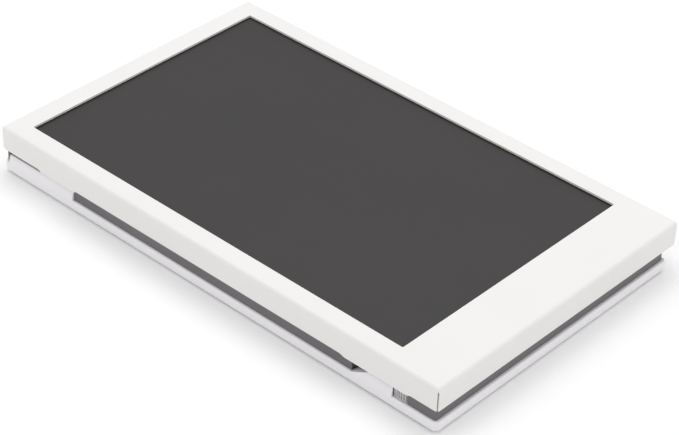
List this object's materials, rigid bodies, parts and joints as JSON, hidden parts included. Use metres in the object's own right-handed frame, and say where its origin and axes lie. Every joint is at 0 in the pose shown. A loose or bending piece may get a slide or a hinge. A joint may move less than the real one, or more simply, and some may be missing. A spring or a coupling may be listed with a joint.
{
  "type": "digital photo frame",
  "caption": "Digital photo frame with a folded sheet bezel, wide chin, flat 16:10 screen, white back cover, fold-out stand leg, jog wheel, power button and keyhole hangers.",
  "frame": {"origin": "centre of the footprint, on the plane of the rubber feet, with the frame lying on its back", "axes": "+X towards the wide chin of the bezel, +Y towards the side with the sockets and the power button, -Y towards the jog wheel, +Z out of the screen"},
  "size_m": [0.2542, 0.1544, 0.0234],
  "materials": {
    "bezel_white": "fine satin powder coat",
    "foam_black": "closed-cell foam",
    "screen_glass": "matt anti-glare glass over a dark screen",
    "cell_black": "liquid crystal cell and its polarisers",
    "guide_clear": "clear acrylic with white films",
    "moulding_white": "natural white moulding",
    "led_yellow": "phosphor faces on a white strip",
    "tray_metal": "rolled sheet",
    "tape_grey": "foam tape",
    "core_dark": "fine textured moulding",
    "cover_white": "satin moulding with a fine texture",
    "board_green": "solder mask over glass epoxy",
    "tin_plate": "tin-plated sheet",
    "chip_black": "moulded package",
    "flex_amber": "polyimide film over copper",
    "lead_black": "soft insulation",
    "lead_red": "soft insulation",
    "steel": "zinc-plated",
    "steel_dark": "blackened",
    "rubber_dark": "soft matt rubber",
    "washer_brass": "sprung brass",
    "wheel_grey": "grooved moulding",
    "button_dark": "fine textured moulding"
  },
  "bodies": {
    "housing": {"bezel": "bezel_white", "window_gasket": "foam_black", "cover_glass": "screen_glass", "lcd_cell": "cell_black", "light_guide": "guide_clear", "panel_frame": "moulding_white", "led_bar": "led_yellow", "panel_tray": "tray_metal", "display_tape": "tape_grey", "mid_frame": "core_dark", "back_cover": "cover_white", "main_board": "board_green", "shield_can": "tin_plate", "board_chips": "chip_black", "wifi_module": "tin_plate", "wifi_antenna": "flex_amber", "antenna_lead": "lead_black", "card_socket": "tin_plate", "power_socket": "tin_plate", "power_switch": "chip_black", "cell_holder": "chip_black", "clock_cell": "tin_plate", "flex_connector": "moulding_white", "display_flex": "flex_amber", "lead_connectors": "moulding_white", "wheel_board": "board_green", "wheel_encoder": "chip_black", "wheel_lead": "lead_black", "speakers": "chip_black", "speaker_gaskets": "foam_black", "speaker_leads": "lead_red", "hanger_plates": "steel", "hanger_screws": "steel", "board_screws": "steel", "cover_screws": "steel_dark", "bezel_studs": "steel", "bezel_screws": "steel", "rubber_feet": "rubber_dark", "hinge_pin": "steel", "hinge_washers": "washer_brass"},
    "leg": {"stand_leg": "cover_white", "leg_pad": "rubber_dark"},
    "wheel": {"jog_wheel": "wheel_grey", "wheel_shaft": "steel"},
    "button": {"power_button": "button_dark", "switch_plunger": "chip_black"}
  },
  "joints": [
    {"name": "leg_hinge", "type": "hinge", "parent": "housing", "child": "leg", "pos_m": [0.01915, 0, 0.004], "axis": [0, 1, 0], "range_deg": [0, 35]},
    {"name": "wheel_turn", "type": "hinge", "parent": "housing", "child": "wheel", "pos_m": [0.10715, -0.0702, 0.0089], "axis": [0, 0, 1], "continuous": true},
    {"name": "button_press", "type": "slide", "parent": "housing", "child": "button", "axis": [0, -1, 0], "range_m": [0, 0.0006], "stiffness_N_per_m": 1500, "springref_m": -0.0003}
  ]
}
